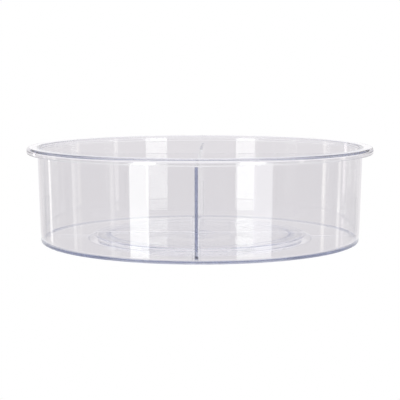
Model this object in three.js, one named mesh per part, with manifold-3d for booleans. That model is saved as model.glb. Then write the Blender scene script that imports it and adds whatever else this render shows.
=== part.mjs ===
// A clear round turntable tray with four compartments. A moulded bowl with a rolled rim turns on a ring of
// balls over a low base, and two crossed dividers slide down between ribs on the bowl's wall.
// Millimetres, +Z up. The origin is on the surface the tray stands on, under its middle, on the turning axis.
import * as THREE from "three";
import { mergeVertices } from "three/addons/utils/BufferGeometryUtils.js";
import Module from "manifold-3d";

const wasm = await Module();
wasm.setup();

// ---- Driving dimensions ----

const bowl = {
  height: 79.8, // from its lowest edge to the top of the rim
  groundGap: 3.2, // air under its lowest edge
  wall: 2.2,
  floor: 2.4,
  draft: 1.5, // degrees that the wall leans outwards
  footRadius: 1.6, // outer round between wall and underside
  innerFillet: 1.6,
};

const rim = {
  radius: 146, // half the overall diameter
  overhang: 9, // beyond the wall's outer face
  thickness: 2.2,
  depth: 5.3, // height of the turned-down lip
  lip: 1.9, // thickness of the turned-down lip
  edgeRadius: 2.4,
  footEdgeRadius: 0.9,
  innerEdgeRadius: 1.2,
};

// The middle of the floor slopes up, which leaves a round recess under it for the turntable.
const plateau = {
  radius: 89, // at its top edge
  rise: 3.1, // above the floor round it
  rampWidth: 6, // how much further out the foot of the slope is
  rampFillet: 2,
  recessInset: 6.6, // from the foot of the slope in to the edge of the recess's roof
  dimpleRadius: 12, // shallow dimple in the middle, where the plastic was let into the mould
  dimpleDepth: 0.3,
};

const divider = {
  thickness: 2.5,
  dropBelowRim: 6.7, // top edge below the top of the rim
  floorClearance: 0.25,
  wallClearance: 0.5,
  slotClearance: 0.25, // each side, in the crossing and between the ribs
  cornerRadius: 2,
  leadInRadius: 0.6,
  stepRadius: 1, // where its foot steps down over the edge of the floor's raised middle
};

// Pairs of ribs on the wall hold the ends of the dividers.
const rail = {
  height: 33.6, // above the floor at the wall
  depth: 4.4,
  width: 1.7,
  topRadius: 1.5,
};

const base = {
  recessClearance: 1.2, // all round, inside the roof of the bowl's recess
  thickness: 2.4,
  clearance: 1, // underside above the surface it stands on
  lipHeight: 1.8, // turned-up edge above the plate
  lip: 2,
  edgeRadius: 1.5,
  hubRadius: 25.5, // raised middle, at its top edge
  hubThickness: 1.8,
  hubSlope: 4, // how much further out the foot of the raised middle is
};

const bearing = {
  raceInset: 7.2, // from the inside of the base's turned-up edge to the middle of the race
  ballDiameter: 4.76,
  ballCount: 20,
  grooveClearance: 0.2,
  cageWidth: 10.4,
  cageThickness: 1.3,
  pocketClearance: 0.2,
};

const pivot = {
  bossRadius: 7,
  bossClearance: 0.3, // round the boss, in the hub's hole
  liftGap: 0.5, // between the hub and the bowl above it
  play: 0.4, // between the hub and the pin's head below it
  headRadius: 11,
  headThickness: 1.9,
  shankRadius: 3.4,
  shankClearance: 0.2,
  seatGap: 0.1,
  roofThickness: 1, // floor left over the pin's socket, under the dimple
  edgeRadius: 0.4,
};

const foot = {
  count: 6,
  radius: 6,
  inset: 10.2, // from the base's edge to the middle of the foot
  pocketDepth: 0.4,
  pocketClearance: 0.2,
  glue: 0.1,
  edgeRadius: 0.4,
};

const smallFillet = 0.8; // on the moulded pieces' minor edges
const ringSegments = 60; // a multiple of 4, so that a round piece reaches its full width on each axis
const smallRingSegments = 24;
const pocketSegments = 12;
const grooveSteps = 4;
const filletFineness = 0.85; // a larger value gives a fillet fewer steps

// ---- Levels, from the surface up ----

const bowlTop = bowl.groundGap + bowl.height;
const floorTop = bowl.groundGap + bowl.floor;
const plateauUnder = bowl.groundGap + plateau.rise;
const plateauTop = floorTop + plateau.rise;
const railTop = floorTop + rail.height;
const baseTop = base.clearance + base.thickness;
const hubTop = plateauUnder - pivot.liftGap;
const hubUnder = hubTop - base.hubThickness;
const pinHeadTop = hubUnder - pivot.play;
const ballRadius = bearing.ballDiameter / 2;
const ballHeight = (baseTop + plateauUnder) / 2;
const socketTop = plateauTop - plateau.dimpleDepth - pivot.roofThickness;
const grooveRadius = ballRadius + bearing.grooveClearance;
const dividerFoot = plateauTop + divider.floorClearance;
const dividerEndFoot = floorTop + divider.floorClearance;
const dividerTop = bowlTop - divider.dropBelowRim;
const slotWidth = divider.thickness + 2 * divider.slotClearance;

// ---- Radii, from the bowl's recess inwards ----

const rampFoot = plateau.radius + plateau.rampWidth;
const recessRadius = rampFoot - plateau.recessInset;
const baseRadius = recessRadius - base.recessClearance;
const raceRadius = baseRadius - base.lip - bearing.raceInset;
const footCircleRadius = baseRadius - foot.inset;

// The wall's faces lean outwards, so their radius depends on the height.
function wallOuter(z) {
  return rim.radius - rim.overhang - (bowlTop - z) * Math.tan(THREE.MathUtils.degToRad(bowl.draft));
}

function wallInner(z) {
  return wallOuter(z) - bowl.wall;
}

// ---- Shape helpers ----

// An outline through corners [x, y, fillet radius], with each fillet as an arc.
function filleted(corners) {
  const outline = [];
  corners.forEach(([x, y, radius = 0], i) => {
    const corner = new THREE.Vector2(x, y);
    if (!radius) {
      outline.push(corner);
      return;
    }
    const before = corners.at(i - 1);
    const after = corners[(i + 1) % corners.length];
    const back = new THREE.Vector2(before[0], before[1]).sub(corner).normalize();
    const ahead = new THREE.Vector2(after[0], after[1]).sub(corner).normalize();
    const half = Math.acos(back.dot(ahead)) / 2;
    const reach = radius / Math.tan(half);
    const middle = back.clone().add(ahead).setLength(radius / Math.sin(half));
    const centre = corner.clone().add(middle);
    const start = corner.clone().addScaledVector(back, reach).sub(centre);
    const end = corner.clone().addScaledVector(ahead, reach).sub(centre);
    const turn = Math.atan2(start.cross(end), start.dot(end));
    const steps = Math.max(1, Math.ceil((Math.abs(turn) * Math.sqrt(radius)) / filletFineness));
    for (let k = 0; k <= steps; k++) {
      outline.push(start.clone().rotateAround(new THREE.Vector2(), (turn * k) / steps).add(centre));
    }
  });
  return outline;
}

// Half the width of the ball groove where it opens into a face at height z.
function grooveHalfWidth(z) {
  return Math.sqrt(grooveRadius ** 2 - (z - ballHeight) ** 2);
}

// The groove's arc over the balls (side 1) or under them (side -1), from edge to edge. Both run the way that
// a profile does which has its solid on the left.
function grooveCorners(z, side) {
  const half = Math.atan2(side * (z - ballHeight), grooveHalfWidth(z));
  const sweep = Math.PI - 2 * half;
  const corners = [];
  for (let k = 0; k <= grooveSteps; k++) {
    const angle = Math.PI - half - (sweep * k) / grooveSteps;
    corners.push([
      raceRadius + side * grooveRadius * Math.cos(angle),
      ballHeight + side * grooveRadius * Math.sin(angle),
    ]);
  }
  return corners;
}

// A round solid from a profile of [radius, height, fillet] corners with its solid on the left.
function turned(corners, segments = ringSegments) {
  const outline = filleted(corners);
  const open = corners[0][0] === 0;
  if (!open) outline.push(outline[0].clone());
  return new THREE.LatheGeometry(outline, segments).rotateX(Math.PI / 2);
}

// A flat plate standing on edge: its outline is [x, z, fillet] corners, and its middle plane is y = 0.
function uprightPlate(corners, thickness) {
  const shape = new THREE.Shape(filleted(corners));
  const plate = new THREE.ExtrudeGeometry(shape, { depth: thickness, bevelEnabled: false, curveSegments: 1 });
  return plate.translate(0, 0, -thickness / 2).rotateX(Math.PI / 2);
}

function solid(geometry) {
  const bare = geometry.clone();
  bare.deleteAttribute("normal");
  bare.deleteAttribute("uv");
  const merged = mergeVertices(bare);
  return new wasm.Manifold(
    new wasm.Mesh({
      numProp: 3,
      vertProperties: merged.attributes.position.array,
      triVerts: new Uint32Array(merged.index.array),
    }),
  );
}

function geometryOf(manifold) {
  const { vertProperties, triVerts } = manifold.getMesh();
  const geometry = new THREE.BufferGeometry();
  geometry.setAttribute("position", new THREE.BufferAttribute(vertProperties, 3));
  geometry.setIndex(new THREE.BufferAttribute(triVerts, 1));
  geometry.computeVertexNormals();
  return geometry;
}

function onCircle(count, place) {
  return Array.from({ length: count }, (_, i) => place((2 * Math.PI * i) / count, i + 1));
}

// ---- Materials ----

function clearPlastic(color, opacity, roughness = 0.05) {
  return new THREE.MeshStandardMaterial({ color, roughness, metalness: 0, transparent: true, opacity });
}

const materials = {
  bowl: clearPlastic(0xeceaf2, 0.3),
  divider: clearPlastic(0xe2e3f0, 0.35),
  base: clearPlastic(0xe6e5ee, 0.35),
  bearing: clearPlastic(0xf2f1f5, 0.5),
  foot: clearPlastic(0xe4e4e8, 0.6, 0.55),
};

// ---- Pieces ----

// The bowl's section: hub boss with its pin socket, ball groove, recess, floor, wall, rolled rim and back.
function bowlSection() {
  const bossUnder = pinHeadTop + pivot.seatGap;
  const socketRadius = pivot.shankRadius + pivot.shankClearance;
  const rimUnder = bowlTop - rim.thickness;
  const rimFoot = bowlTop - rim.depth;
  const lipInner = rim.radius - rim.lip;
  return [
    [0, socketTop],
    [socketRadius, socketTop],
    [socketRadius, bossUnder],
    [pivot.bossRadius, bossUnder],
    [pivot.bossRadius, plateauUnder],
    ...grooveCorners(plateauUnder, 1),
    [recessRadius, plateauUnder, plateau.rampFillet],
    [recessRadius + plateau.rampWidth, bowl.groundGap, plateau.rampFillet],
    [wallOuter(bowl.groundGap), bowl.groundGap, bowl.footRadius],
    [wallOuter(rimUnder), rimUnder, smallFillet],
    [lipInner, rimUnder, smallFillet],
    [lipInner, rimFoot, rim.footEdgeRadius],
    [rim.radius, rimFoot, rim.footEdgeRadius],
    [rim.radius, bowlTop, rim.edgeRadius],
    [wallInner(bowlTop), bowlTop, rim.innerEdgeRadius],
    [wallInner(floorTop), floorTop, bowl.innerFillet],
    [rampFoot, floorTop, plateau.rampFillet],
    [plateau.radius, plateauTop, plateau.rampFillet],
    [plateau.dimpleRadius, plateauTop],
    [plateau.dimpleRadius, plateauTop - plateau.dimpleDepth],
    [0, plateauTop - plateau.dimpleDepth],
  ];
}

// One rib, on the +X side of the wall, sunk a little into wall and floor so that it joins them.
function railPlate() {
  const sunk = floorTop - bowl.floor / 4;
  const corners = [
    [wallInner(sunk) - rail.depth, sunk],
    [wallInner(sunk) + bowl.wall / 2, sunk],
    [wallInner(railTop) + bowl.wall / 2, railTop],
    [wallInner(railTop) - rail.depth, railTop, rail.topRadius],
  ];
  return uprightPlate(corners, rail.width);
}

function bowlGeometry() {
  let body = solid(turned(bowlSection()));
  const offset = (slotWidth + rail.width) / 2;
  onCircle(4, (angle) => {
    for (const side of [-1, 1]) {
      body = body.add(solid(railPlate().translate(0, side * offset, 0).rotateZ(angle)));
    }
  });
  return geometryOf(body);
}

// Half of a divider's outline, right of the middle, from its foot to its top. notch is the crossing's slot:
// "top" opens it upwards and "foot" downwards.
function dividerOutline(notch) {
  const middle = (dividerFoot + dividerTop) / 2;
  const slotHalf = slotWidth / 2;
  const reach = (z) => wallInner(z) - divider.wallClearance;
  const step = [plateau.radius + divider.floorClearance, dividerFoot, divider.stepRadius];
  const stepFoot = [rampFoot + divider.floorClearance, dividerEndFoot, divider.stepRadius];
  const foot = [reach(dividerEndFoot), dividerEndFoot, divider.cornerRadius];
  const top = [reach(dividerTop), dividerTop, divider.cornerRadius];
  const footToTop = [step, stepFoot, foot, top];
  const mirrored = ([x, z, radius]) => [-x, z, radius];
  const topToFoot = footToTop.map(mirrored).reverse();
  if (notch === "top") {
    const end = [slotHalf, middle - divider.slotClearance];
    const mouth = [slotHalf, dividerTop, divider.leadInRadius];
    return [...footToTop, mouth, end, mirrored(end), mirrored(mouth), ...topToFoot];
  }
  const end = [slotHalf, middle + divider.slotClearance];
  const mouth = [slotHalf, dividerFoot, divider.leadInRadius];
  return [mouth, ...footToTop, ...topToFoot, mirrored(mouth), mirrored(end), end];
}

function dividerGeometry(notch) {
  return uprightPlate(dividerOutline(notch), divider.thickness);
}

// The base's section: a plate with a turned-up edge, the lower ball groove and a raised middle.
function baseSection() {
  const holeRadius = pivot.bossRadius + pivot.bossClearance;
  const lipTop = baseTop + base.lipHeight;
  const lipInner = baseRadius - base.lip;
  const hubFoot = base.hubRadius + base.hubSlope;
  return [
    [holeRadius, hubUnder],
    [base.hubRadius - base.hubThickness, hubUnder, smallFillet],
    [hubFoot - base.hubThickness, base.clearance, smallFillet],
    [baseRadius, base.clearance, base.edgeRadius],
    [baseRadius, lipTop, smallFillet],
    [lipInner, lipTop, smallFillet],
    [lipInner, baseTop, smallFillet],
    ...grooveCorners(baseTop, -1),
    [hubFoot, baseTop, smallFillet],
    [base.hubRadius, hubTop, smallFillet],
    [holeRadius, hubTop],
  ];
}

function baseGeometry() {
  let body = solid(turned(baseSection()));
  const pocketRadius = foot.radius + foot.pocketClearance;
  onCircle(foot.count, (angle) => {
    const pocket = new THREE.CylinderGeometry(pocketRadius, pocketRadius, 2 * foot.pocketDepth, smallRingSegments);
    pocket.rotateX(Math.PI / 2).translate(footCircleRadius, 0, base.clearance).rotateZ(angle);
    body = body.subtract(solid(pocket));
  });
  return geometryOf(body);
}

function cageGeometry() {
  const inner = raceRadius - bearing.cageWidth / 2;
  const outer = raceRadius + bearing.cageWidth / 2;
  const low = ballHeight - bearing.cageThickness / 2;
  const high = ballHeight + bearing.cageThickness / 2;
  let body = solid(turned([[inner, low], [outer, low], [outer, high], [inner, high]]));
  const pocketRadius = ballRadius + bearing.pocketClearance;
  onCircle(bearing.ballCount, (angle) => {
    const pocket = new THREE.CylinderGeometry(pocketRadius, pocketRadius, 2 * bearing.cageThickness, pocketSegments);
    pocket.rotateX(Math.PI / 2).translate(raceRadius, 0, ballHeight).rotateZ(angle);
    body = body.subtract(solid(pocket));
  });
  return geometryOf(body);
}

// The flanged pin that is pressed up into the bowl's boss and keeps the base on.
function pinGeometry() {
  const headUnder = pinHeadTop - pivot.headThickness;
  const shankTop = socketTop - pivot.seatGap;
  const section = [
    [0, headUnder],
    [pivot.headRadius, headUnder, smallFillet],
    [pivot.headRadius, pinHeadTop, pivot.edgeRadius],
    [pivot.shankRadius, pinHeadTop],
    [pivot.shankRadius, shankTop, pivot.edgeRadius],
    [0, shankTop],
  ];
  return turned(section, smallRingSegments);
}

function footGeometry() {
  const top = base.clearance + foot.pocketDepth - foot.glue;
  const section = [
    [0, 0],
    [foot.radius, 0, foot.edgeRadius],
    [foot.radius, top],
    [0, top],
  ];
  return turned(section, smallRingSegments);
}

// ---- Assembly ----

function part(name, geometry, material) {
  const mesh = new THREE.Mesh(geometry, material);
  mesh.name = name;
  return mesh;
}

const tray = new THREE.Group();

tray.add(part("tray_bowl", bowlGeometry(), materials.bowl));
tray.add(part("pivot_pin", pinGeometry(), materials.base));

tray.add(part("divider_lower", dividerGeometry("top"), materials.divider));
const upper = part("divider_upper", dividerGeometry("foot"), materials.divider);
upper.rotation.z = Math.PI / 2;
tray.add(upper);

tray.add(part("base_plate", baseGeometry(), materials.base));
onCircle(foot.count, (angle, number) => {
  const pad = part(`foot_pad_${number}`, footGeometry(), materials.foot);
  pad.position.set(footCircleRadius * Math.cos(angle), footCircleRadius * Math.sin(angle), 0);
  tray.add(pad);
});

tray.add(part("ball_cage", cageGeometry(), materials.bearing));
onCircle(bearing.ballCount, (angle, number) => {
  const name = `bearing_ball_${String(number).padStart(2, "0")}`;
  const ball = part(name, new THREE.SphereGeometry(ballRadius, 10, 6).rotateX(Math.PI / 2), materials.bearing);
  ball.position.set(raceRadius * Math.cos(angle), raceRadius * Math.sin(angle), ballHeight);
  tray.add(ball);
});

export default tray;
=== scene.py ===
# A divided turntable tray in clear moulded plastic, standing on a light table.
# Lengths in the dictionaries are millimetres unless a note says otherwise.

import math

import bmesh
import bpy
from mathutils import Matrix, Vector


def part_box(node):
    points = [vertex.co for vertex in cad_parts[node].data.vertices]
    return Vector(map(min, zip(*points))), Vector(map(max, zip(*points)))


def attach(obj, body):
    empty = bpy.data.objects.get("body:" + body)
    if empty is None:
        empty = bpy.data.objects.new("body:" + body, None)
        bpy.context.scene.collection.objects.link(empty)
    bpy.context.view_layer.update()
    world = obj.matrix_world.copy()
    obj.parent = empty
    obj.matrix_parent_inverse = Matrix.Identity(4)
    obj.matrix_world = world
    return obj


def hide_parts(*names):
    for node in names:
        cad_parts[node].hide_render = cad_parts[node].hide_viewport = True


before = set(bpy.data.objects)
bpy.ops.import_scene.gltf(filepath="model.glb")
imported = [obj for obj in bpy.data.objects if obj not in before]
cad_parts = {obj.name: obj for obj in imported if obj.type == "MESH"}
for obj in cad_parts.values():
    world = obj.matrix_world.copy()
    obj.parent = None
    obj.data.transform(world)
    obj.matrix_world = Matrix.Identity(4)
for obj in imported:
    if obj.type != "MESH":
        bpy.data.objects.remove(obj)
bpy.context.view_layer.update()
mm = 0.001

# camera

camera = {
    "distance": 1028.0,   # from the turning axis, on the ground plan
    "height": 156.0,
    "azimuth": 1.18,      # degrees round from straight in front
    "tilt": 6.64,         # degrees down
    "lens": 109.1,
    "sensor": 36.0,
    "clip": (50.0, 50000.0),
}


def placeCamera():
    data = bpy.data.cameras.new("frontView")
    data.lens = camera["lens"]
    data.sensor_width = camera["sensor"]
    data.clip_start, data.clip_end = (reach * mm for reach in camera["clip"])
    view = bpy.data.objects.new("frontView", data)
    bpy.context.scene.collection.objects.link(view)
    turn = math.radians(camera["azimuth"])
    away = camera["distance"] * mm
    view.location = (away * math.sin(turn), -away * math.cos(turn), camera["height"] * mm)
    view.rotation_euler = (math.radians(90 - camera["tilt"]), 0, turn)
    bpy.context.scene.camera = view


placeCamera()
print("camera placed")

# making shapes


# corners are (x, y, radius); fineness is the most degrees of an arc that one edge takes
def roundedOutline(corners, fineness=9.0):
    outline = []
    count = len(corners)
    for i, (x, y, radius) in enumerate(corners):
        corner = Vector((x, y))
        if not radius:
            outline.append(corner)
            continue
        back = (Vector(corners[i - 1][:2]) - corner).normalized()
        ahead = (Vector(corners[(i + 1) % count][:2]) - corner).normalized()
        half = math.acos(max(-1.0, min(1.0, back.dot(ahead)))) / 2
        reach = radius / math.tan(half)
        centre = corner + (back + ahead).normalized() * (radius / math.sin(half))
        start = corner + back * reach - centre
        end = corner + ahead * reach - centre
        turn = math.atan2(start.x * end.y - start.y * end.x, start.dot(end))
        steps = max(3, math.ceil(abs(math.degrees(turn)) / fineness))
        for k in range(steps + 1):
            a = turn * k / steps
            outline.append(centre + Vector((start.x * math.cos(a) - start.y * math.sin(a),
                                            start.x * math.sin(a) + start.y * math.cos(a))))
    return outline


def newPiece(name, mesh):
    piece = bpy.data.objects.new(name, mesh)
    bpy.context.scene.collection.objects.link(piece)
    return piece


def meshFrom(shape, name, crease=32.0):
    bmesh.ops.recalc_face_normals(shape, faces=shape.faces)
    mesh = bpy.data.meshes.new(name)
    shape.to_mesh(mesh)
    shape.free()
    softenShading(mesh, crease)
    return mesh


def softenShading(mesh, crease):
    for face in mesh.polygons:
        face.use_smooth = True
    mesh.set_sharp_from_angle(angle=math.radians(crease))


# section holds (radius, height); it starts and ends on the axis or closes on itself
def turned(name, section, segments, crease=32.0):
    shape = bmesh.new()
    onAxis = section[0][0] < 1e-6
    rings = []
    for radius, height in section:
        if radius < 1e-6:
            rings.append([shape.verts.new((0, 0, height * mm))])
            continue
        rings.append([shape.verts.new((radius * mm * math.cos(2 * math.pi * k / segments),
                                       radius * mm * math.sin(2 * math.pi * k / segments),
                                       height * mm)) for k in range(segments)])
    pairs = list(zip(rings, rings[1:]))
    if not onAxis:
        pairs.append((rings[-1], rings[0]))
    for low, high in pairs:
        for k in range(segments):
            n = (k + 1) % segments
            if len(low) == 1:
                shape.faces.new((low[0], high[n], high[k]))
            elif len(high) == 1:
                shape.faces.new((low[k], low[n], high[0]))
            else:
                shape.faces.new((low[k], low[n], high[n], high[k]))
    return meshFrom(shape, name, crease)


# a plain drum, for cutting round holes
def drum(radius, low, high, segments):
    return turned("drum", [(0, low), (radius, low), (radius, high), (0, high)], segments)


# a plate standing in the XZ plane round y = 0, with its arrises rounded
def uprightPlate(name, corners, thickness, edge, edgeSteps=4, crease=32.0):
    outline = roundedOutline(corners)
    count = len(outline)
    inward = []
    for i, point in enumerate(outline):
        before = (point - outline[i - 1]).normalized()
        after = (outline[(i + 1) % count] - point).normalized()
        normal = Vector((-(before.y + after.y), before.x + after.x)).normalized()
        inward.append(normal / max(0.5, normal.dot(Vector((-after.y, after.x)))))
    shape = bmesh.new()
    layers = []
    half = thickness / 2
    levels = [(-half + edge * (1 - math.sin(a)), edge * (1 - math.cos(a)))
              for a in (math.pi / 2 * (1 - k / edgeSteps) for k in range(edgeSteps + 1))]
    levels += [(-y, inset) for y, inset in reversed(levels)]
    for y, inset in levels:
        layers.append([shape.verts.new(((p.x + n.x * inset) * mm, y * mm, (p.y + n.y * inset) * mm))
                       for p, n in zip(outline, inward)])
    for low, high in zip(layers, layers[1:]):
        for k in range(count):
            n = (k + 1) % count
            shape.faces.new((low[k], low[n], high[n], high[k]))
    shape.faces.new(layers[0])
    shape.faces.new(layers[-1])
    return meshFrom(shape, name, crease)


# applies the modifiers, so that the piece is a plain mesh
def bake(piece):
    graph = bpy.context.evaluated_depsgraph_get()
    mesh = bpy.data.meshes.new_from_object(piece.evaluated_get(graph))
    piece.modifiers.clear()
    old = piece.data
    piece.data = mesh
    bpy.data.meshes.remove(old)


# splits the many-sided faces that a cut leaves, so that none of their triangles is a sliver
def cleanFaces(mesh, tolerance=1e-6):
    shape = bmesh.new()
    shape.from_mesh(mesh)
    bmesh.ops.remove_doubles(shape, verts=shape.verts, dist=tolerance)
    wide = [face for face in shape.faces if len(face.verts) > 4]
    bmesh.ops.triangulate(shape, faces=wide, quad_method="BEAUTY", ngon_method="BEAUTY")
    bmesh.ops.dissolve_degenerate(shape, dist=tolerance, edges=shape.edges)
    shape.to_mesh(mesh)
    shape.free()


# toolMeshes join the piece, or are cut out of it; they don't touch each other
def joinOrCut(piece, toolMeshes, operation, crease=32.0):
    shape = bmesh.new()
    for mesh in toolMeshes:
        shape.from_mesh(mesh)
    tool = newPiece("tool", meshFrom(shape, "tool"))
    change = piece.modifiers.new("change", "BOOLEAN")
    change.operation = operation
    change.solver = "EXACT"
    change.object = tool
    bake(piece)
    cleanFaces(piece.data)
    softenShading(piece.data, crease)
    toolMesh = tool.data
    bpy.data.objects.remove(tool)
    bpy.data.meshes.remove(toolMesh)


def placed(mesh, matrix):
    copy = mesh.copy()
    copy.transform(matrix)
    return copy


def roundAxis(count):
    return [2 * math.pi * k / count for k in range(count)]


def movedOut(radius, turn):
    return Matrix.Translation((radius * mm * math.cos(turn), radius * mm * math.sin(turn), 0))


def sectionOf(corners, fineness):
    return [(p.x, p.y) for p in roundedOutline(corners, fineness)]


def boxOf(node):
    return tuple(Vector(corner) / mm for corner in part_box(node))


# sizes that several pieces share

trayLow, trayHigh = boxOf("tray_bowl")
baseLow, baseHigh = boxOf("base_plate")
ballLow, ballHigh = boxOf("bearing_ball_01")
rimTop = trayHigh.z
rimRadius = (trayHigh.x - trayLow.x) / 2
trayFoot = trayLow.z

bowl = {
    "wall": 2.2,
    "floor": 2.4,
    "draft": 1.5,          # degrees
    "overhang": 9.0,
    "footRadius": 1.6,
    "innerFillet": 1.6,
    "rimThickness": 2.2,
    "rimDepth": 5.3,
    "rimLip": 1.9,
    "rimEdge": 2.4,
    "rimFootEdge": 0.9,
    "rimInnerEdge": 1.2,
    "plateauRadius": 89.0,
    "plateauRise": 3.1,
    "rampWidth": 6.0,      # the slope from the plateau down to the floor
    "recessInset": 6.6,
    "fillet": 0.8,
    "rampFillet": 2.0,
    "dimpleRadius": 12.0,
    "dimpleDepth": 0.3,
    "dimpleSlope": 0.6,
    "dimpleFillet": 0.25,
    "bossRadius": 7.0,
    "bossEdge": 0.3,
    "bossFillet": 0.4,
    "socketRadius": 3.6,
    "socketRoof": 1.0,
    "bossFoot": 3.7,
    "segments": 240,
}
turntable = {
    "plate": 2.4,          # thickness of the base
    "raceInset": 9.2,      # from the base's outer edge to the middle of the ball race
    "grooveGap": 0.2,      # between a ball and the two grooves it runs in
}
floorTop = trayFoot + bowl["floor"]
plateauUnder = trayFoot + bowl["plateauRise"]
plateauTop = floorTop + bowl["plateauRise"]
rampFoot = bowl["plateauRadius"] + bowl["rampWidth"]
recessRadius = rampFoot - bowl["recessInset"]
baseRadius = (baseHigh.x - baseLow.x) / 2
baseUnder = baseLow.z
baseTop = baseUnder + turntable["plate"]
raceRadius = baseRadius - turntable["raceInset"]
ballRadius = (ballHigh.z - ballLow.z) / 2
ballHeight = (ballHigh.z + ballLow.z) / 2
grooveRadius = ballRadius + turntable["grooveGap"]


def wallOuter(z):
    return rimRadius - bowl["overhang"] - (rimTop - z) * math.tan(math.radians(bowl["draft"]))


def wallInner(z):
    return wallOuter(z) - bowl["wall"]


# the ball groove in a face: side is 1 where the face lies over the balls and -1 where it lies under them
def grooveArc(faceHeight, side, steps=14):
    half = math.asin(side * (faceHeight - ballHeight) / grooveRadius)
    sweep = math.pi - 2 * half
    arc = []
    for k in range(steps + 1):
        a = math.pi - half - sweep * k / steps
        out = raceRadius + side * grooveRadius * math.cos(a)
        arc.append((out, ballHeight + side * grooveRadius * math.sin(a), 0))
    return arc


# clear plastics


def nodeMaterial(name):
    material = bpy.data.materials.new(name)
    material.use_nodes = True
    nodes = material.node_tree.nodes
    nodes.clear()
    return material, nodes, material.node_tree.links


def mathNode(nodes, links, operation, *values):
    node = nodes.new("ShaderNodeMath")
    node.operation = operation
    for socket, value in zip(node.inputs, values):
        if isinstance(value, (int, float)):
            socket.default_value = value
        else:
            links.new(value, socket)
    return node.outputs[0]


# runs smoothly from 0 at start to 1 at end
def smoothRun(nodes, links, value, start, end):
    node = nodes.new("ShaderNodeMapRange")
    node.interpolation_type = "SMOOTHSTEP"
    node.inputs["From Min"].default_value = start
    node.inputs["From Max"].default_value = end
    links.new(value, node.inputs["Value"])
    return node.outputs["Result"]


def mixColours(nodes, links, kind, factor, first, second):
    node = nodes.new("ShaderNodeMix")
    node.data_type = "RGBA"
    node.blend_type = kind
    sockets = [item for item in node.inputs if item.type == "RGBA"]
    for socket, value in zip([node.inputs["Factor"], *sockets], (factor, first, second)):
        if isinstance(value, (int, float, tuple)):
            socket.default_value = value
        else:
            links.new(value, socket)
    return [item for item in node.outputs if item.type == "RGBA"][0]


# painted shade: the base colour of the plastic is darkened along the outer bottom edge of the floor,
# standing in for the dark line that light led a long way through the floor leaves there
def paintedEdgeShade(nodes, links, point, look, socket):
    split = nodes.new("ShaderNodeSeparateXYZ")
    links.new(point, split.inputs["Vector"])
    squares = [mathNode(nodes, links, "POWER", split.outputs[axis], 2.0) for axis in ("X", "Y")]
    out = mathNode(nodes, links, "SQRT", mathNode(nodes, links, "ADD", *squares))
    inner = wallOuter(trayFoot) - look["edgeWidth"]
    top = trayFoot + look["edgeHeight"]
    wide = smoothRun(nodes, links, out, (inner - look["edgeFade"]) * mm, inner * mm)
    low = smoothRun(nodes, links, split.outputs["Z"], (top + look["edgeFade"] / 2) * mm, top * mm)
    share = mathNode(nodes, links, "MULTIPLY", wide, low)
    # painted shade colour, mixed into the plain base colour along that edge
    plain, shadedEdge = look["tint"] + (1.0,), look["edgeShadeTint"] + (1.0,)
    links.new(mixColours(nodes, links, "MIX", share, plain, shadedEdge), socket)


def clearPlastic(name, look):
    material, nodes, links = nodeMaterial(name)
    out = nodes.new("ShaderNodeOutputMaterial")
    skin = nodes.new("ShaderNodeBsdfPrincipled")
    skin.inputs["Base Color"].default_value = (*look["tint"], 1)
    skin.inputs["IOR"].default_value = look["ior"]
    skin.inputs["Transmission Weight"].default_value = 1.0
    links.new(skin.outputs["BSDF"], out.inputs["Surface"])
    place = nodes.new("ShaderNodeTexCoord")
    # painted shade along the floor's outer bottom edge, for looks that ask for it
    if "edgeShadeTint" in look:
        paintedEdgeShade(nodes, links, place.outputs["Object"], look, skin.inputs["Base Color"])
    # slow ripples left by the plastic's flow, and finer rub marks over them
    ripple = nodes.new("ShaderNodeTexNoise")
    ripple.inputs["Scale"].default_value = look["rippleScale"]
    ripple.inputs["Detail"].default_value = look["rippleDetail"]
    links.new(place.outputs["Object"], ripple.inputs["Vector"])
    rub = nodes.new("ShaderNodeTexNoise")
    rub.inputs["Scale"].default_value = look["rubScale"]
    rub.inputs["Detail"].default_value = look["rubDetail"]
    links.new(place.outputs["Object"], rub.inputs["Vector"])
    gloss = nodes.new("ShaderNodeMapRange")
    gloss.inputs["From Min"].default_value = look["rubFrom"]
    gloss.inputs["From Max"].default_value = look["rubTo"]
    gloss.inputs["To Min"].default_value = look["roughLow"]
    gloss.inputs["To Max"].default_value = look["roughHigh"]
    links.new(rub.outputs["Fac"], gloss.inputs["Value"])
    links.new(gloss.outputs["Result"], skin.inputs["Roughness"])
    bump = nodes.new("ShaderNodeBump")
    bump.inputs["Strength"].default_value = look["rippleStrength"]
    bump.inputs["Distance"].default_value = look["rippleDepth"] * mm
    links.new(ripple.outputs["Fac"], bump.inputs["Height"])
    links.new(bump.outputs["Normal"], skin.inputs["Normal"])
    depth = nodes.new("ShaderNodeVolumeAbsorption")
    depth.inputs["Color"].default_value = (*look["depthTint"], 1)
    depth.inputs["Density"].default_value = look["depthDensity"]
    links.new(depth.outputs["Volume"], out.inputs["Volume"])
    return material


trayPlastic = {
    "tint": (1.0, 1.0, 1.0),
    "ior": 1.58,
    "rippleScale": 22.0,
    "rippleDetail": 2.0,
    "rippleStrength": 0.01,
    "rippleDepth": 1.0,
    "rubScale": 240.0,
    "rubDetail": 6.0,
    "rubFrom": 0.45,       # how much of the noise counts as rubbed
    "rubTo": 0.75,
    "roughLow": 0.0,
    "roughHigh": 0.02,
    "depthTint": (0.0, 0.09, 0.41),   # what is left of white light in a long path
    "depthDensity": 3.9,
}
clearTray = clearPlastic("clearTrayPlastic", {
    **trayPlastic,
    # painted shade: the base colour is darkened in a band along the floor's outer bottom edge
    "edgeShadeTint": (0.7, 0.72, 0.76),
    "edgeWidth": 3.0,
    "edgeHeight": 2.3,
    "edgeFade": 1.0,
})
clearDivider = clearPlastic("clearDividerPlastic", {**trayPlastic, "rippleScale": 16.0})
clearBase = clearPlastic("clearBasePlastic", {**trayPlastic, "rippleScale": 30.0, "roughHigh": 0.05})
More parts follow.
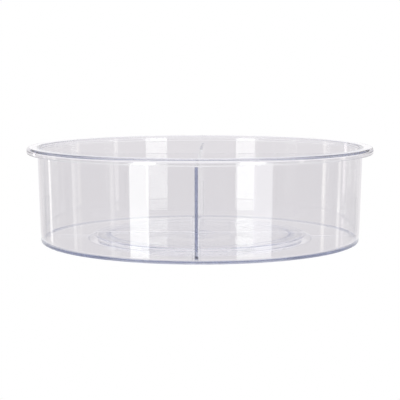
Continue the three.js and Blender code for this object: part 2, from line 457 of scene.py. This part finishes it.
clearBearing = clearPlastic("clearBearingPlastic", {**trayPlastic, "rippleScale": 60.0, "roughHigh": 0.06})


padLook = {
    "tint": (0.95, 0.95, 0.97),
    "ior": 1.43,
    "clear": 0.9,
    "grainScale": 900.0,
    "roughLow": 0.25,
    "roughHigh": 0.5,
}


def softPad():
    material, nodes, links = nodeMaterial("clearSoftPad")
    out = nodes.new("ShaderNodeOutputMaterial")
    skin = nodes.new("ShaderNodeBsdfPrincipled")
    skin.inputs["Base Color"].default_value = (*padLook["tint"], 1)
    skin.inputs["IOR"].default_value = padLook["ior"]
    skin.inputs["Transmission Weight"].default_value = padLook["clear"]
    links.new(skin.outputs["BSDF"], out.inputs["Surface"])
    grain = nodes.new("ShaderNodeTexNoise")
    grain.inputs["Scale"].default_value = padLook["grainScale"]
    place = nodes.new("ShaderNodeTexCoord")
    links.new(place.outputs["Object"], grain.inputs["Vector"])
    rough = nodes.new("ShaderNodeMapRange")
    rough.inputs["To Min"].default_value = padLook["roughLow"]
    rough.inputs["To Max"].default_value = padLook["roughHigh"]
    links.new(grain.outputs["Fac"], rough.inputs["Value"])
    links.new(rough.outputs["Result"], skin.inputs["Roughness"])
    return material


padPlastic = softPad()
print("plastics mixed")


def finishPiece(piece, material, body, slot, *nodes):
    # large flat faces keep their own direction beside the small rounded edges
    normals = piece.modifiers.new("normals", "WEIGHTED_NORMAL")
    normals.mode = "FACE_AREA"
    normals.keep_sharp = True
    bake(piece)
    piece.data.materials.clear()
    piece.data.materials.append(material)
    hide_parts(*nodes)
    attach(piece, body)


# the tray

rib = {
    "height": 33.6,
    "depth": 4.4,
    "width": 1.7,
    "topRadius": 1.5,
    "slot": 3.0,
    "edge": 0.35,
    "sunk": 0.6,
}


def traySection():
    rimUnder = rimTop - bowl["rimThickness"]
    rimFoot = rimTop - bowl["rimDepth"]
    lipInner = rimRadius - bowl["rimLip"]
    dimpleFloor = plateauTop - bowl["dimpleDepth"]
    socketTop = dimpleFloor - bowl["socketRoof"]
    f = bowl["fillet"]
    corners = [
        (0, socketTop, 0),
        (bowl["socketRadius"], socketTop, 0),
        (bowl["socketRadius"], bowl["bossFoot"], 0),
        (bowl["bossRadius"], bowl["bossFoot"], bowl["bossEdge"]),
        (bowl["bossRadius"], plateauUnder, bowl["bossFillet"]),
        *grooveArc(plateauUnder, 1),
        (recessRadius, plateauUnder, bowl["rampFillet"]),
        (recessRadius + bowl["rampWidth"], trayFoot, bowl["rampFillet"]),
        (wallOuter(trayFoot), trayFoot, bowl["footRadius"]),
        (wallOuter(rimUnder), rimUnder, f),
        (lipInner, rimUnder, f),
        (lipInner, rimFoot, bowl["rimFootEdge"]),
        (rimRadius, rimFoot, bowl["rimFootEdge"]),
        (rimRadius, rimTop, bowl["rimEdge"]),
        (wallInner(rimTop), rimTop, bowl["rimInnerEdge"]),
        (wallInner(floorTop), floorTop, bowl["innerFillet"]),
        (rampFoot, floorTop, bowl["rampFillet"]),
        (bowl["plateauRadius"], plateauTop, bowl["rampFillet"]),
        (bowl["dimpleRadius"], plateauTop, bowl["dimpleFillet"]),
        (bowl["dimpleRadius"] - bowl["dimpleSlope"], dimpleFloor, bowl["dimpleFillet"]),
        (0, dimpleFloor, 0),
    ]
    return sectionOf(corners, 10.0)


def ribMesh():
    low = floorTop - rib["sunk"]
    top = floorTop + rib["height"]
    corners = [
        (wallInner(low) - rib["depth"], low, 0),
        (wallInner(low) + bowl["wall"] / 2, low, 0),
        (wallInner(top) + bowl["wall"] / 2, top, 0),
        (wallInner(top) - rib["depth"], top, rib["topRadius"]),
    ]
    return uprightPlate("rib", corners, rib["width"], rib["edge"])


def makeTray():
    tray = newPiece("tray", turned("tray", traySection(), bowl["segments"]))
    offset = (rib["slot"] + rib["width"]) / 2 * mm
    ribs = [placed(ribMesh(), Matrix.Rotation(a, 4, "Z") @ Matrix.Translation((0, side * offset, 0)))
            for a in roundAxis(4) for side in (-1, 1)]
    joinOrCut(tray, ribs, "UNION")
    finishPiece(tray, clearTray, "tray", "bowl_clear", "tray_bowl")


makeTray()
print("tray turned and ribbed")

# the dividers

divider = {
    "thickness": 2.5,
    "wallGap": 0.5,
    "slotGap": 0.25,
    "cornerRadius": 2.0,
    "leadInRadius": 0.6,
    "slotEndRadius": 0.4,
    "stepRadius": 1.0,    # where the foot steps down over the edge of the raised middle
    "stepGap": 0.25,
    "edge": 0.3,
}
dividerLow, dividerHigh = boxOf("divider_lower")
dividerEndFoot = dividerLow.z
dividerFoot = dividerEndFoot + bowl["plateauRise"]
dividerTop = dividerHigh.z


def dividerCorners(notchUp):
    middle = (dividerFoot + dividerTop) / 2
    slotHalf = divider["thickness"] / 2 + divider["slotGap"]
    radius, leadIn = divider["cornerRadius"], divider["leadInRadius"]
    step = (bowl["plateauRadius"] + divider["stepGap"], dividerFoot, divider["stepRadius"])
    stepFoot = (rampFoot + divider["stepGap"], dividerEndFoot, divider["stepRadius"])
    foot = (wallInner(dividerEndFoot) - divider["wallGap"], dividerEndFoot, radius)
    top = (wallInner(dividerTop) - divider["wallGap"], dividerTop, radius)
    if notchUp:
        mouth = (slotHalf, dividerTop, leadIn)
        end = (slotHalf, middle - divider["slotGap"], divider["slotEndRadius"])
        right = [step, stepFoot, foot, top, mouth, end]
    else:
        mouth = (slotHalf, dividerFoot, leadIn)
        end = (slotHalf, middle + divider["slotGap"], divider["slotEndRadius"])
        right = [end, mouth, step, stepFoot, foot, top]
    return right + [(-x, z, r) for x, z, r in reversed(right)]


def makeDivider(name, notchUp, quarterTurn, body, node):
    mesh = uprightPlate(name, dividerCorners(notchUp), divider["thickness"], divider["edge"])
    if quarterTurn:
        mesh.transform(Matrix.Rotation(math.pi / 2, 4, "Z"))
    finishPiece(newPiece(name, mesh), clearDivider, body, "divider_clear", node)


makeDivider("dividerLower", True, False, "lower_divider", "divider_lower")
makeDivider("dividerUpper", False, True, "upper_divider", "divider_upper")
print("dividers cut")

# the turntable base

base = {
    "lip": 2.0,
    "edge": 1.5,
    "hubRadius": 25.5,
    "hubThickness": 1.8,
    "hubSlope": 4.0,
    "hubTop": 5.8,
    "hole": 7.3,
    "holeEdge": 0.3,
    "fillet": 0.8,
    "feet": 6,
    "footRadius": 6.2,
    "footInset": 10.2,
    "footPocket": 0.4,
    "segments": 180,
}
footCircle = baseRadius - base["footInset"]


def makeBase():
    lipTop = baseHigh.z
    lipInner = baseRadius - base["lip"]
    hubFoot = base["hubRadius"] + base["hubSlope"]
    hubUnder = base["hubTop"] - base["hubThickness"]
    f = base["fillet"]
    corners = [
        (base["hole"], hubUnder, base["holeEdge"]),
        (base["hubRadius"] - base["hubThickness"], hubUnder, f),
        (hubFoot - base["hubThickness"], baseUnder, f),
        (baseRadius, baseUnder, base["edge"]),
        (baseRadius, lipTop, f),
        (lipInner, lipTop, f),
        (lipInner, baseTop, f),
        *grooveArc(baseTop, -1),
        (hubFoot, baseTop, f),
        (base["hubRadius"], base["hubTop"], f),
        (base["hole"], base["hubTop"], base["holeEdge"]),
    ]
    plate = newPiece("turntableBase", turned("turntableBase", sectionOf(corners, 12.0), base["segments"]))
    cutter = drum(base["footRadius"], baseUnder - 1, baseUnder + base["footPocket"], 48)
    pockets = [placed(cutter, movedOut(footCircle, a)) for a in roundAxis(base["feet"])]
    joinOrCut(plate, pockets, "DIFFERENCE")
    finishPiece(plate, clearBase, "base", "base_clear", "base_plate")


makeBase()

foot = {
    "relief": 0.15,        # how far the middle and the groove stay off the table
    "fillet": 0.1,
    "edge": 0.4,
    "topEdge": 0.15,
    # shares of the radius at which the underside steps down and up again, from the middle outwards
    "steps": (0.45, 0.5, 0.72, 0.75, 0.8, 0.83),
    "segments": 48,
}


def makeFeet():
    low, high = boxOf("foot_pad_1")
    radius, top = (high.x - low.x) / 2, high.z
    relief = foot["relief"]
    underside = zip(foot["steps"], (relief, 0, 0, relief, relief, 0))
    corners = [(0, relief, 0), *((radius * share, z, foot["fillet"]) for share, z in underside),
               (radius, 0, foot["edge"]), (radius, top, foot["topEdge"]), (0, top, 0)]
    pad = turned("pad", sectionOf(corners, 20.0), foot["segments"])
    for number, a in enumerate(roundAxis(base["feet"]), 1):
        piece = newPiece(f"footPad{number}", placed(pad, movedOut(footCircle, a)))
        finishPiece(piece, padPlastic, "base", "foot_clear", f"foot_pad_{number}")


makeFeet()
print("base and feet made")

# the ball race

race = {
    "balls": 20,
    "cageWidth": 10.4,
    "cageThickness": 1.3,
    "pocket": 2.58,
    "cageEdge": 0.3,
    "cageSegments": 180,
    "pocketSegments": 40,
    "ballSegments": 36,
    "ballSteps": 20,       # from pole to pole
}


def makeCage():
    inner = raceRadius - race["cageWidth"] / 2
    outer = raceRadius + race["cageWidth"] / 2
    low = ballHeight - race["cageThickness"] / 2
    high = ballHeight + race["cageThickness"] / 2
    edge = race["cageEdge"]
    corners = [(inner, low, edge), (outer, low, edge), (outer, high, edge), (inner, high, edge)]
    ring = newPiece("ballCage", turned("ballCage", sectionOf(corners, 30.0), race["cageSegments"]))
    cutter = drum(race["pocket"], low - 1, high + 1, race["pocketSegments"])
    pockets = [placed(cutter, movedOut(raceRadius, a)) for a in roundAxis(race["balls"])]
    joinOrCut(ring, pockets, "DIFFERENCE")
    finishPiece(ring, clearBearing, "cage", "bearing_clear", "ball_cage")


def makeBalls():
    steps = race["ballSteps"]
    section = []
    for k in range(steps + 1):
        a = -math.pi / 2 + math.pi * k / steps
        radius = 0.0 if k in (0, steps) else ballRadius * math.cos(a)
        section.append((radius, ballHeight + ballRadius * math.sin(a)))
    ball = turned("ball", section, race["ballSegments"])
    for number, a in enumerate(roundAxis(race["balls"]), 1):
        piece = newPiece(f"ball{number:02d}", placed(ball, movedOut(raceRadius, a)))
        finishPiece(piece, clearBearing, "cage", "bearing_clear", f"bearing_ball_{number:02d}")


makeCage()
makeBalls()

pin = {
    "headThickness": 1.9,
    "headEdge": 0.8,
    "shank": 3.4,
    "edge": 0.4,
    "neckFillet": 0.2,
    "dimple": 5.0,
    "dimpleDepth": 0.5,
    "dimpleSlope": 0.6,
    "dimpleFillet": 0.3,
    "segments": 72,
}


def makePin():
    low, high = boxOf("pivot_pin")
    radius, under, top = (high.x - low.x) / 2, low.z, high.z
    headTop = under + pin["headThickness"]
    dimpleRoof = under + pin["dimpleDepth"]
    corners = [
        (0, dimpleRoof, 0),
        (pin["dimple"] - pin["dimpleSlope"], dimpleRoof, pin["dimpleFillet"]),
        (pin["dimple"], under, pin["dimpleFillet"]),
        (radius, under, pin["headEdge"]),
        (radius, headTop, pin["edge"]),
        (pin["shank"], headTop, pin["neckFillet"]),
        (pin["shank"], top, pin["edge"]),
        (0, top, 0),
    ]
    piece = newPiece("pivotPin", turned("pivotPin", sectionOf(corners, 18.0), pin["segments"]))
    finishPiece(piece, clearBase, "tray", "base_clear", "pivot_pin")


makePin()
print("ball race and pin made")

# light table and studio

studio = {
    "white": 1.0,            # the table and the backdrop as seen directly
    "backdropThrough": (0.78, 0.757, 0.785),  # both as seen through plastic
    "tableThrough": (0.8, 0.777, 0.805),  # the table close to the tray as seen through plastic
    "upper": (0.73, 0.71, 0.735),  # everything above the table's edge, as reflections show it
    "horizon": (0.1, 0.16),  # sines of elevation between which the room turns into the upper part
    "overhead": (1.0, 0.98, 1.01),  # soft box over the table
    "overheadRise": (0.2, 0.35),
    # the room below the table's edge: degrees round from the front, and level
    "room": [(0, 0.55), (60, 0.55), (100, 0.6), (140, 0.68), (163, 0.85), (180, 0.85)],
    "roomTint": (1.0, 0.975, 1.0),
    # lamps round the room: middle and half width in degrees (+ is to the right), softness, level, tint,
    # and the sines of elevation between which they stand
    "lamps": [
        (-41.3, 6.7, 0.6, 3.2, (0.99, 1.02, 0.98), -0.6, -0.1),
        (32.6, 5.7, 0.6, 2.0, (0.99, 1.02, 0.98), -0.6, -0.1),
        (45.0, 6.7, 0.6, 2.2, (0.97, 0.98, 0.99), -0.6, -0.1),
        (-97.0, 1.0, 1.2, 1.2, (1.0, 0.98, 0.96), -0.6, -0.1),
        (-62.0, 1.0, 1.2, 1.2, (1.0, 0.98, 0.96), -0.6, -0.1),
        (97.0, 1.0, 1.2, 1.4, (1.0, 0.97, 0.92), -0.6, -0.1),
        (115.0, 1.0, 1.5, 1.4, (1.0, 0.98, 0.96), -0.6, -0.1),
        (-130.0, 1.0, 1.5, 1.6, (1.0, 0.98, 0.96), -0.6, -0.1),
        (-34.2, 7.2, 0.6, 3.2, (1.0, 1.02, 0.98), -0.1, 0.2),
        (35.1, 8.2, 0.6, 3.0, (1.0, 1.02, 0.98), -0.1, 0.2),
        (107.0, 1.0, 1.5, 1.4, (1.0, 0.97, 0.92), -0.1, 0.2),
        (-108.0, 1.0, 1.5, 1.5, (1.0, 0.97, 0.92), -0.1, 0.2),
        (69.0, 1.0, 1.5, 2.0, (1.0, 0.98, 0.95), -0.1, 0.2),
        (-138.0, 1.5, 1.5, 2.0, (1.0, 0.93, 0.95), -0.1, 0.2),
        (180.0, 9.0, 3.0, 1.05, (1.0, 0.99, 1.0), 0.03, 0.1),
        (-180.0, 9.0, 3.0, 1.05, (1.0, 0.99, 1.0), 0.03, 0.1),
    ],
    "lampFade": 0.02,        # how softly a lamp ends above and below, as a sine of elevation
    "tableSpan": (150.0, 170.0),  # radius out to which the table counts as close to the tray
    "tableRadius": 4000.0,
    "bounces": 128,          # light trapped in the rim and the floor needs many
}


# the colour of a light surface as seen directly, and through plastic
def lightColour(nodes, links, path, throughColour):
    through = mathNode(nodes, links, "GREATER_THAN", path.outputs["Transmission Depth"], 0.5)
    direct = (studio["white"],) * 3 + (1.0,)
    return mixColours(nodes, links, "MIX", through, direct, throughColour)


def surroundings(nodes, links, split):
    minusY = mathNode(nodes, links, "MULTIPLY", split.outputs["Y"], -1.0)
    bearing = mathNode(nodes, links, "ARCTAN2", split.outputs["X"], minusY)
    degrees = mathNode(nodes, links, "MULTIPLY", bearing, 180 / math.pi)
    sideways = mathNode(nodes, links, "DIVIDE", mathNode(nodes, links, "ABSOLUTE", degrees), 180.0)
    room = nodes.new("ShaderNodeValToRGB")
    links.new(sideways, room.inputs["Fac"])
    stops = room.color_ramp.elements
    while len(stops) < len(studio["room"]):
        stops.new(0.5)
    for stop, (turn, level) in zip(stops, studio["room"]):
        stop.position = turn / 180
        stop.color = tuple(level * c for c in studio["roomTint"]) + (1.0,)
    rise = smoothRun(nodes, links, split.outputs["Z"], *studio["horizon"])
    colour = mixColours(nodes, links, "MIX", rise, room.outputs["Color"], studio["upper"] + (1.0,))
    fade = studio["lampFade"]
    for middle, half, soft, level, tint, bottom, top in studio["lamps"]:
        off = mathNode(nodes, links, "ABSOLUTE", mathNode(nodes, links, "SUBTRACT", degrees, middle))
        share = smoothRun(nodes, links, off, half + soft, half)
        over = smoothRun(nodes, links, split.outputs["Z"], bottom, bottom + fade)
        under = smoothRun(nodes, links, split.outputs["Z"], top + fade, top)
        share = mathNode(nodes, links, "MULTIPLY", share, mathNode(nodes, links, "MULTIPLY", over, under))
        lit = tuple(level * c for c in tint) + (1.0,)
        colour = mixColours(nodes, links, "LIGHTEN", share, colour, lit)
    return underSoftBox(nodes, links, split, colour)


def underSoftBox(nodes, links, split, colour):
    rise = smoothRun(nodes, links, split.outputs["Z"], *studio["overheadRise"])
    return mixColours(nodes, links, "MIX", rise, colour, studio["overhead"] + (1.0,))


def lightStudio():
    world = bpy.data.worlds.new("studio")
    bpy.context.scene.world = world
    world.use_nodes = True
    nodes, links = world.node_tree.nodes, world.node_tree.links
    nodes.clear()
    place = nodes.new("ShaderNodeTexCoord")
    split = nodes.new("ShaderNodeSeparateXYZ")
    links.new(place.outputs["Generated"], split.inputs["Vector"])
    path = nodes.new("ShaderNodeLightPath")
    behind = underSoftBox(nodes, links, split, studio["backdropThrough"] + (1.0,))
    straight = lightColour(nodes, links, path, behind)
    mirrored = mathNode(nodes, links, "GREATER_THAN", path.outputs["Glossy Depth"], 0.5)
    glow = nodes.new("ShaderNodeBackground")
    seen = mixColours(nodes, links, "MIX", mirrored, straight, surroundings(nodes, links, split))
    links.new(seen, glow.inputs["Color"])
    out = nodes.new("ShaderNodeOutputWorld")
    links.new(glow.outputs["Background"], out.inputs["Surface"])


def lightTable():
    shape = bmesh.new()
    bmesh.ops.create_circle(shape, cap_ends=True, segments=96, radius=studio["tableRadius"] * mm)
    table = newPiece("lightTable", meshFrom(shape, "lightTable"))
    material, nodes, links = nodeMaterial("lightTable")
    out = nodes.new("ShaderNodeOutputMaterial")
    glow = nodes.new("ShaderNodeEmission")
    clear = nodes.new("ShaderNodeBsdfTransparent")
    path = nodes.new("ShaderNodeLightPath")
    mirrored = mathNode(nodes, links, "GREATER_THAN", path.outputs["Glossy Depth"], 0.5)
    place = nodes.new("ShaderNodeTexCoord")
    reach = nodes.new("ShaderNodeVectorMath")
    reach.operation = "LENGTH"
    links.new(place.outputs["Object"], reach.inputs[0])
    far = smoothRun(nodes, links, reach.outputs["Value"], *(r * mm for r in studio["tableSpan"]))
    near = lightColour(nodes, links, path, studio["tableThrough"] + (1.0,))
    away = lightColour(nodes, links, path, studio["backdropThrough"] + (1.0,))
    links.new(mixColours(nodes, links, "MIX", far, near, away), glow.inputs["Color"])
    mix = nodes.new("ShaderNodeMixShader")
    links.new(mathNode(nodes, links, "MULTIPLY", mirrored, far), mix.inputs["Fac"])
    links.new(glow.outputs["Emission"], mix.inputs[1])
    links.new(clear.outputs["BSDF"], mix.inputs[2])
    links.new(mix.outputs["Shader"], out.inputs["Surface"])
    table.data.materials.append(material)


lightStudio()
lightTable()

scene = bpy.context.scene
scene.view_settings.view_transform = "Standard"
scene.cycles.max_bounces = studio["bounces"]
scene.cycles.transmission_bounces = studio["bounces"]
scene.cycles.glossy_bounces = studio["bounces"]
scene.cycles.transparent_max_bounces = 16
scene.cycles.caustics_reflective = True
scene.cycles.caustics_refractive = True
scene.cycles.sample_clamp_indirect = 0.0
print("light table lit")
